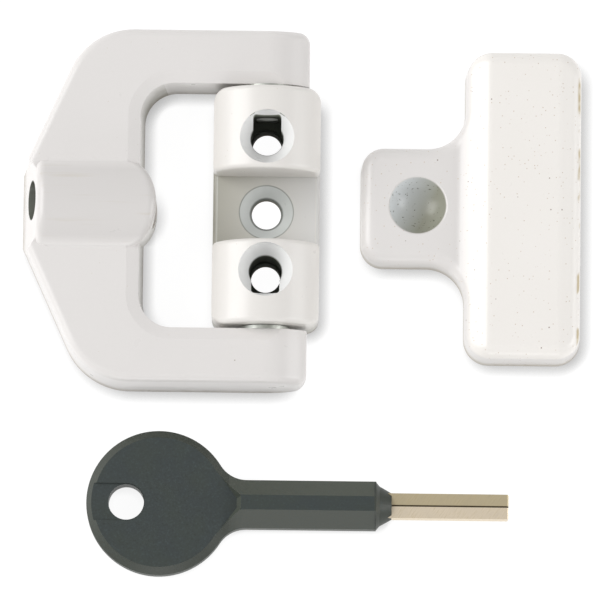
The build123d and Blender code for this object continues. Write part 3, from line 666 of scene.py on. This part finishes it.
# Painted light and shade: the cup is lit bluish on the left and shaded olive at the lower right.
cup_shade_share = add_node(tree, "MapRange", {"Value": across, "From Min": LIT_SIDE_END, "From Max": SHADED_SIDE_START})
cup_light_and_shade = add_node(
    tree, "Mix", {"Factor": cup_shade_share, "A": linear(CUP_LIT_SIDE), "B": linear(CUP_SHADED_SIDE)}, data_type="RGBA"
)
worn_and_shaded_cup = add_node(
    tree, "Mix", {"Factor": in_cup, "A": keep_coat["colour"], "B": cup_light_and_shade}, data_type="RGBA"
)
crumb_noise = add_node(
    tree, "TexNoise", {"Vector": keep_coat["coords"], "Scale": 1 / CRUMB_SIZE, "Detail": SOFT_DETAIL}
)
crumbs = add_node(tree, "MapRange", {"Value": crumb_noise, "From Min": CRUMB_LOW, "From Max": CRUMB_HIGH})
cup_crumbs = add_node(tree, "Math", {0: in_cup, 1: crumbs}, operation="MULTIPLY")
keep_coat["colour"] = add_node(
    tree, "Mix", {"Factor": cup_crumbs, "A": worn_and_shaded_cup, "B": linear(CRUMB_COLOUR)}, data_type="RGBA"
)
keep_enamel = finish_enamel(
    keep_coat, soot_and_shade_amount=KEEP_SOOT_AND_SHADE, soot_and_shade_colour="#A09A88", grime_and_shade_height=KEEP_GRIME_AND_SHADE_HEIGHT,
    grime_and_shade_colour="#938566"
)
paint_node("keep_cover", keep_enamel)

# %% [markdown]
# ## Turned and pressed metal
# The pins, the bushes and the bolt are bright steel, the spindle and the nose bush are brass, and the
# keep's plate is pressed from zinc-plated sheet. Turned and drawn metal is never a perfect mirror: the
# tool leaves fine rings or lines, and oil and air dull it in patches. So one function makes a metal
# with both. The lines go in the roughness and in a small bump, and are stretched one way or another.
# Real tool lines are finer than this picture can show, so they are drawn coarser.

# %% Worn metal
GRAIN_SIZE = 0.3 * MM
GRAIN_HEIGHT = 0.004 * MM
GRAIN_LOW = 0.2
GRAIN_HIGH = 0.8
GRAIN_SWING = 0.1
DULL_SIZE = 1.8 * MM
DULL_LOW = 0.35
DULL_HIGH = 0.7


def worn_metal(name, colour, dull_colour, roughness, line_scale):
    """Metal with patches of dulled colour and fine tool lines. line_scale stretches the lines."""
    material = new_material(name)
    tree = material.node_tree
    coords = add_node(tree, "TexCoord").outputs["Object"]
    lines = add_node(tree, "Mapping", {"Vector": coords, "Scale": line_scale})
    grain = add_node(tree, "TexNoise", {"Vector": lines, "Scale": 1 / GRAIN_SIZE, "Detail": CLOUDY_DETAIL})
    patches = add_node(tree, "TexNoise", {"Vector": coords, "Scale": 1 / DULL_SIZE, "Detail": CLOUDY_DETAIL})
    dull = add_node(tree, "MapRange", {"Value": patches, "From Min": DULL_LOW, "From Max": DULL_HIGH})
    tone = add_node(
        tree, "Mix", {"Factor": dull, "A": linear(colour), "B": linear(dull_colour)}, data_type="RGBA"
    )
    bump = add_node(tree, "Bump", {"Height": grain, "Strength": 1.0, "Distance": GRAIN_HEIGHT})
    grain_roughness = add_node(
        tree, "MapRange",
        {"Value": grain, "From Min": GRAIN_LOW, "From Max": GRAIN_HIGH, "To Min": roughness - GRAIN_SWING,
         "To Max": roughness + GRAIN_SWING}
    )
    shader = add_node(
        tree, "BsdfPrincipled",
        {"Base Color": tone, "Metallic": 1.0, "Roughness": grain_roughness, "Normal": bump}
    )
    add_node(tree, "OutputMaterial", {"Surface": shader})
    return material


print("Tool lines are drawn about", round(GRAIN_SIZE / MM, 1), "mm apart")

# %% [markdown]
# The lines run lengthwise on the hinge pins and bushes, which lie along Y, and on the bolt, which lies
# along X. On the spindle and the nose bush, which lie along X too, they run round as rings. Sheet has
# no direction. The small guide pin and the circlip share the two steels.

# %% Steel, zinc and brass
# Bright steel and zinc give the eye a neutral grey with blurred highlights, brass a dull yellow.
turned_steel = worn_metal(
    "turned_bright_steel", colour="#C6C9C4", dull_colour="#A3A59D", roughness=0.5, line_scale=(1, 0.1, 1)
)
bolt_steel = worn_metal(
    "drawn_bolt_steel", colour="#C9CAC8", dull_colour="#9C9C94", roughness=0.35, line_scale=(0.1, 1, 1)
)
plate_steel = worn_metal(
    "zinc_plated_sheet", colour="#B6B9BB", dull_colour="#96999A", roughness=0.45, line_scale=(1, 1, 1)
)
turned_brass = worn_metal(
    "turned_brass", colour="#C9A35A", dull_colour="#9A7C45", roughness=0.35, line_scale=(1, 0.1, 0.1)
)
for name in ("hinge_pin_upper", "hinge_pin_lower", "hinge_bush_upper", "hinge_bush_lower", "bolt_guide_pin"):
    paint_node(name, turned_steel)
for name in ("lock_bolt", "spindle_circlip"):
    paint_node(name, bolt_steel)
for name in ("lock_spindle", "nose_bush"):
    paint_node(name, turned_brass)
paint_node("keep_base_plate", plate_steel)

# %% [markdown]
# ## Key bit
# The bit is folded from strip with a satin nickel plate that has gone yellow. Its two halves meet in a dark
# seam along the middle. The half that leans to the back is painted darker and the front half lighter, as
# painted shade and light on the two slopes. Grinding marks cross it at a slant, drawn coarser than real ones
# so that they show. The seam is a groove in the model, and the paint only darkens it. The halves are told
# apart by their place on either side of it.

# %% Key bit
BIT_SEAM_Y = -44.2 * MM
SEAM_WIDTH = 0.16 * MM
SEAM_CORE = 0.4 * SEAM_WIDTH
SEAM_AMOUNT = 0.9
SEAM_DARK = "#4A4030"
HALF_BLEND = 0.05 * MM
LIT_FRONT_HALF = "#EBDDC6"
SHADED_BACK_HALF = "#CABD9E"
MARK_SIZE = 0.25 * MM
MARK_SLANT = radians(-35)
MARK_STRETCH = 6
MARK_LOW = 0.5
MARK_HIGH = 0.75
MARK_AMOUNT = 0.35
MARK_COLOUR = "#B5A582"
SMOOTH_BIT = 0.4
ROUGH_BIT = 0.6

# Nickel plate shines softly and has a yellow cast, unlike the neutral steel of the lock.
bit_metal = new_material("yellowed_nickel_plate")
tree = bit_metal.node_tree
bit_coords = add_node(tree, "TexCoord").outputs["Object"]
bit_y = add_node(tree, "SeparateXYZ", {"Vector": bit_coords}).outputs["Y"]
slanting = add_node(
    tree, "Mapping", {"Vector": bit_coords, "Rotation": (0, 0, MARK_SLANT), "Scale": (1, MARK_STRETCH, 1)},
    vector_type="TEXTURE"
)
marks = add_node(tree, "TexNoise", {"Vector": slanting, "Scale": 1 / MARK_SIZE, "Detail": CLOUDY_DETAIL})
half = add_node(
    tree, "MapRange",
    {"Value": bit_y, "From Min": BIT_SEAM_Y - HALF_BLEND, "From Max": BIT_SEAM_Y + HALF_BLEND}
)
# Painted light and shade: the front half is lit, the back half shaded.
lit_and_shaded_halves = add_node(
    tree, "Mix", {"Factor": half, "A": linear(LIT_FRONT_HALF), "B": linear(SHADED_BACK_HALF)}, data_type="RGBA"
)
mark_share = add_node(
    tree, "MapRange", {"Value": marks, "From Min": MARK_LOW, "From Max": MARK_HIGH, "To Max": MARK_AMOUNT}
)
marked = add_node(
    tree, "Mix", {"Factor": mark_share, "A": lit_and_shaded_halves, "B": linear(MARK_COLOUR)}, data_type="RGBA"
)
past_seam = add_node(tree, "Math", {0: bit_y, 1: BIT_SEAM_Y}, operation="SUBTRACT")
off_seam = add_node(tree, "Math", {0: past_seam}, operation="ABSOLUTE")
seam = add_node(
    tree, "MapRange",
    {"Value": off_seam, "From Min": SEAM_CORE, "From Max": SEAM_WIDTH, "To Min": SEAM_AMOUNT, "To Max": 0.0}
)
seamed = add_node(tree, "Mix", {"Factor": seam, "A": marked, "B": linear(SEAM_DARK)}, data_type="RGBA")
bit_bump = add_node(tree, "Bump", {"Height": marks, "Strength": 1.0, "Distance": GRAIN_HEIGHT})
bit_roughness = add_node(
    tree, "MapRange",
    {"Value": marks, "From Min": GRAIN_LOW, "From Max": GRAIN_HIGH,
     "To Min": SMOOTH_BIT, "To Max": ROUGH_BIT}
)
bit_shader = add_node(
    tree, "BsdfPrincipled",
    {"Base Color": seamed, "Metallic": 1.0, "Roughness": bit_roughness, "Normal": bit_bump}
)
add_node(tree, "OutputMaterial", {"Surface": bit_shader})
paint_node("key_bit", bit_metal)

# %% [markdown]
# ## Key handle
# The handle is moulded from dark green-grey glass-filled nylon. The flats keep the tone that the mould gave
# them. The sloping facets are painted an olive grey as a painted sheen, more on the shank than on the head,
# and the collar is darker than the shank's facets. The faces towards the viewer are painted darker, as
# painted shade. How far a face looks up tells the flats from the facets. A face's place along the key tells
# the head, the shank and the collar apart, and the faces towards the viewer look along -Y.

# %% Key handle, tones
CLOUD_SIZE = 3.5 * MM
CLOUD_LOW = 0.35
CLOUD_HIGH = 0.65
FLAT_GREEN = "#2E3632"
FLAT_BLUE = "#2C3434"
FACET_UP = 0.9
FLAT_UP = 0.97
HEAD_END = -5.0 * MM
COLLAR_START = 16.6 * MM
SHANK_FACET_SHEEN = "#42473E"
HEAD_FACET_SHEEN = "#363B33"
COLLAR_COLOUR = "#31362F"
FRONT_FACING = -0.5
SIDE_FACING = -0.2
FRONT_SHADE_AMOUNT = 0.6
FRONT_SHADE_COLOUR = "#30352E"

# Glass-filled nylon gives the eye a dark, matt skin with a fine speckle and no clear highlights.
key_plastic = new_material("glass_filled_nylon")
tree = key_plastic.node_tree
key_surface = add_node(tree, "TexCoord")
key_coords = key_surface.outputs["Object"]
key_x = add_node(tree, "SeparateXYZ", {"Vector": key_coords}).outputs["X"]
key_facing = add_node(tree, "SeparateXYZ", {"Vector": key_surface.outputs["Normal"]})
clouds = add_node(tree, "TexNoise", {"Vector": key_coords, "Scale": 1 / CLOUD_SIZE, "Detail": CLOUDY_DETAIL})
blue_share = add_node(tree, "MapRange", {"Value": clouds, "From Min": CLOUD_LOW, "From Max": CLOUD_HIGH})
flats = add_node(
    tree, "Mix", {"Factor": blue_share, "A": linear(FLAT_GREEN), "B": linear(FLAT_BLUE)}, data_type="RGBA"
)
key_level = add_node(tree, "Math", {0: key_facing.outputs["Z"]}, operation="ABSOLUTE")
sloping = add_node(
    tree, "MapRange",
    {"Value": key_level, "From Min": FACET_UP, "From Max": FLAT_UP, "To Min": 1.0, "To Max": 0.0}
)
on_head = add_node(tree, "Math", {0: key_x, 1: HEAD_END}, operation="LESS_THAN")
# Painted sheen: the sloping facets are lighter than the flats.
facet_sheen = add_node(
    tree, "Mix", {"Factor": on_head, "A": linear(SHANK_FACET_SHEEN), "B": linear(HEAD_FACET_SHEEN)}, data_type="RGBA"
)
flats_and_sheen = add_node(tree, "Mix", {"Factor": sloping, "A": flats, "B": facet_sheen}, data_type="RGBA")
on_collar = add_node(tree, "Math", {0: key_x, 1: COLLAR_START}, operation="GREATER_THAN")
collared = add_node(
    tree, "Mix", {"Factor": on_collar, "A": flats_and_sheen, "B": linear(COLLAR_COLOUR)}, data_type="RGBA"
)
# Painted shade: faces towards the viewer are darker.
front_shade_share = add_node(
    tree, "MapRange",
    {"Value": key_facing.outputs["Y"], "From Min": FRONT_FACING, "From Max": SIDE_FACING,
     "To Min": FRONT_SHADE_AMOUNT, "To Max": 0.0}
)
key_tone = add_node(
    tree, "Mix", {"Factor": front_shade_share, "A": collared, "B": linear(FRONT_SHADE_COLOUR)}, data_type="RGBA"
)
print("Head up to x =", round(HEAD_END / MM, 1), "mm, collar from", round(COLLAR_START / MM, 1), "mm")

# %% [markdown]
# The nylon's glass fibres end in the skin as a fine speckle, blue-green where they catch the light and
# darker between them. Real fibres are finer than a pixel, so the speckle is drawn coarser. One noise
# drives it, the roughness and a small bump, so that they agree. A few pale specks of dust finish it.

# %% Key handle, fibres
KEY_IOR = 1.53
FIBRE_SIZE = 0.3 * MM
FIBRE_HEIGHT = 0.006 * MM
FIBRE_LOW = 0.55
FIBRE_HIGH = 0.75
FIBRE_AMOUNT = 0.45
FIBRE_COLOUR = "#3D4B4B"
GAP_LOW = 0.28
GAP_HIGH = 0.42
GAP_AMOUNT = 0.5
GAP_COLOUR = "#232722"
SMOOTH_KEY = 0.42
ROUGH_KEY = 0.6

fibres = add_node(
    tree, "TexNoise", {"Vector": key_coords, "Scale": 1 / FIBRE_SIZE, "Detail": CLOUDY_DETAIL}
)
fibre_share = add_node(
    tree, "MapRange",
    {"Value": fibres, "From Min": FIBRE_LOW, "From Max": FIBRE_HIGH, "To Max": FIBRE_AMOUNT}
)
speckled = add_node(
    tree, "Mix", {"Factor": fibre_share, "A": key_tone, "B": linear(FIBRE_COLOUR)}, data_type="RGBA"
)
gap_share = add_node(
    tree, "MapRange",
    {"Value": fibres, "From Min": GAP_LOW, "From Max": GAP_HIGH, "To Min": GAP_AMOUNT, "To Max": 0.0}
)
pitted = add_node(
    tree, "Mix", {"Factor": gap_share, "A": speckled, "B": linear(GAP_COLOUR)}, data_type="RGBA"
)
key_skin = {"tree": tree, "coords": key_coords, "colour": pitted}
add_specks(key_skin, spacing=2.0 * MM, radius=0.12 * MM, share=0.12, colour="#76756A")
key_bump = add_node(tree, "Bump", {"Height": fibres, "Strength": 1.0, "Distance": FIBRE_HEIGHT})
key_roughness = add_node(
    tree, "MapRange",
    {"Value": fibres, "From Min": GRAIN_LOW, "From Max": GRAIN_HIGH,
     "To Min": SMOOTH_KEY, "To Max": ROUGH_KEY}
)
key_shader = add_node(
    tree, "BsdfPrincipled",
    {"Base Color": key_skin["colour"], "Roughness": key_roughness, "IOR": KEY_IOR, "Normal": key_bump}
)
add_node(tree, "OutputMaterial", {"Surface": key_shader})
paint_node("key_handle", key_plastic)

# %% [markdown]
# ## Floor and light
# The set lies on white paper. To the camera, and in reflections, the paper is mostly glow, so that it
# goes to white. The glow is dimmed close to each piece, on the side away from the light, and the real
# shadow shows through it as well. Only the strip under the block's screw holes isn't dimmed, because
# light falls through the holes. Everything else sees plain paper, which throws its light back up at
# the lock. The paper lies a hair below the pieces, so that it doesn't flicker with their undersides.

# %% Floor
FLOOR_SIZE = 4.0
FLOOR_GAP = 0.03 * MM
PAPER_WHITE = "#FAFAFA"
PAPER_ROUGHNESS = 0.9
GLOW_SHARE = 0.85
HOLE_GLOW = 1.15
LIGHT_WAY = (-0.6, 0.6, 0.35)
SHADOW_SAMPLES = 8
SHADOW_REACH = 2.0 * MM
DARK_OPENNESS = 0.3
CLEAR_OPENNESS = 0.95
DARK_GLOW = 0.45
CLEAR_GLOW = 1.1

bpy.ops.object.select_all(action="DESELECT")
bpy.ops.mesh.primitive_plane_add(size=FLOOR_SIZE, location=(0, 0, -FLOOR_GAP))
floor = bpy.context.object
floor.name = "floor"
# White paper has hardly any gloss and scatters nearly all the light that it gets.
white_paper = new_material("white_paper")
tree = white_paper.node_tree
paper = add_node(tree, "BsdfPrincipled", {"Base Color": linear(PAPER_WHITE), "Roughness": PAPER_ROUGHNESS})
rays = add_node(tree, "LightPath")
to_eye = add_node(
    tree, "Math", {0: rays.outputs["Is Camera Ray"], 1: rays.outputs["Is Glossy Ray"]}, operation="MAXIMUM"
)
glow_share = add_node(tree, "Math", {0: to_eye, 1: GLOW_SHARE}, operation="MULTIPLY")
light_way = add_node(tree, "CombineXYZ", dict(zip("XYZ", LIGHT_WAY)))
openness = add_node(
    tree, "AmbientOcclusion", {"Normal": light_way, "Distance": SHADOW_REACH}, samples=SHADOW_SAMPLES
).outputs["AO"]
dimmed = add_node(
    tree, "MapRange",
    {"Value": openness, "From Min": DARK_OPENNESS, "From Max": CLEAR_OPENNESS, "To Min": DARK_GLOW,
     "To Max": CLEAR_GLOW}
)
paper_coords = add_node(tree, "TexCoord").outputs["Object"]
paper_place = add_node(tree, "SeparateXYZ", {"Vector": paper_coords})
paper_aside = add_node(tree, "Math", {0: paper_place.outputs["X"]}, operation="ABSOLUTE")
paper_away = add_node(tree, "Math", {0: paper_place.outputs["Y"]}, operation="ABSOLUTE")
hole_side = add_node(tree, "Math", {0: paper_aside, 1: BORE_EDGE}, operation="LESS_THAN")
hole_end = add_node(tree, "Math", {0: paper_away, 1: SCREW_PITCH + BORE_EDGE}, operation="LESS_THAN")
under_holes = add_node(tree, "Math", {0: hole_side, 1: hole_end}, operation="MULTIPLY")
hole_glow = add_node(tree, "Math", {0: under_holes, 1: HOLE_GLOW}, operation="MULTIPLY")
strength = add_node(tree, "Math", {0: dimmed, 1: hole_glow}, operation="MAXIMUM")
glow = add_node(tree, "Emission", {"Color": WHITE_LIGHT, "Strength": strength})
seen = add_node(tree, "MixShader", {0: glow_share, 1: paper, 2: glow})
add_node(tree, "OutputMaterial", {"Surface": seen})
floor.data.materials.append(white_paper)
print("The paper lies", round(FLOOR_GAP / MM, 2), "mm below the lock")

# %% [markdown]
# The light is that of a photographer's white tent: an even sky, with one broad lamp low on the left
# that whitens every slope on that side, and weaker ones on the right and in front that keep the other
# slopes from going grey. Each lamp is placed in metres and turned to the middle of the set.

# %% Light
SKY_STRENGTH = 0.55

world = bpy.data.worlds.new("studio")
bpy.context.scene.world = world
world.use_nodes = True
world.node_tree.nodes.clear()
sky = add_node(world.node_tree, "Background", {"Color": WHITE_LIGHT, "Strength": SKY_STRENGTH})
add_node(world.node_tree, "OutputWorld", {"Surface": sky})


def soft_lamp(name, place, size, watts):
    """A rectangular lamp that looks at the middle of the set."""
    data = bpy.data.lights.new(name, "AREA")
    data.shape = "RECTANGLE"
    data.size, data.size_y = size
    data.energy = watts
    lamp = bpy.data.objects.new(name, data)
    bpy.context.scene.collection.objects.link(lamp)
    lamp.location = place
    lamp.rotation_euler = (PICTURE_CENTER - Vector(place)).to_track_quat("-Z", "Y").to_euler()
    return lamp


left_lamp = soft_lamp("left_lamp", place=(-0.75, 0.15, 0.5), size=(0.7, 0.7), watts=6.5)
right_lamp = soft_lamp("right_lamp", place=(0.8, -0.1, 0.35), size=(0.5, 0.5), watts=3.0)
front_lamp = soft_lamp("front_lamp", place=(0.0, -1.1, 0.2), size=(0.8, 0.3), watts=2.4)
print("Lamps in watts:", [round(lamp.data.energy, 1) for lamp in (left_lamp, right_lamp, front_lamp)])

# %% [markdown]
# The last cell shows the colours as they are written, with no film look.

# %% Colours as written
bpy.context.scene.view_settings.view_transform = "Standard"
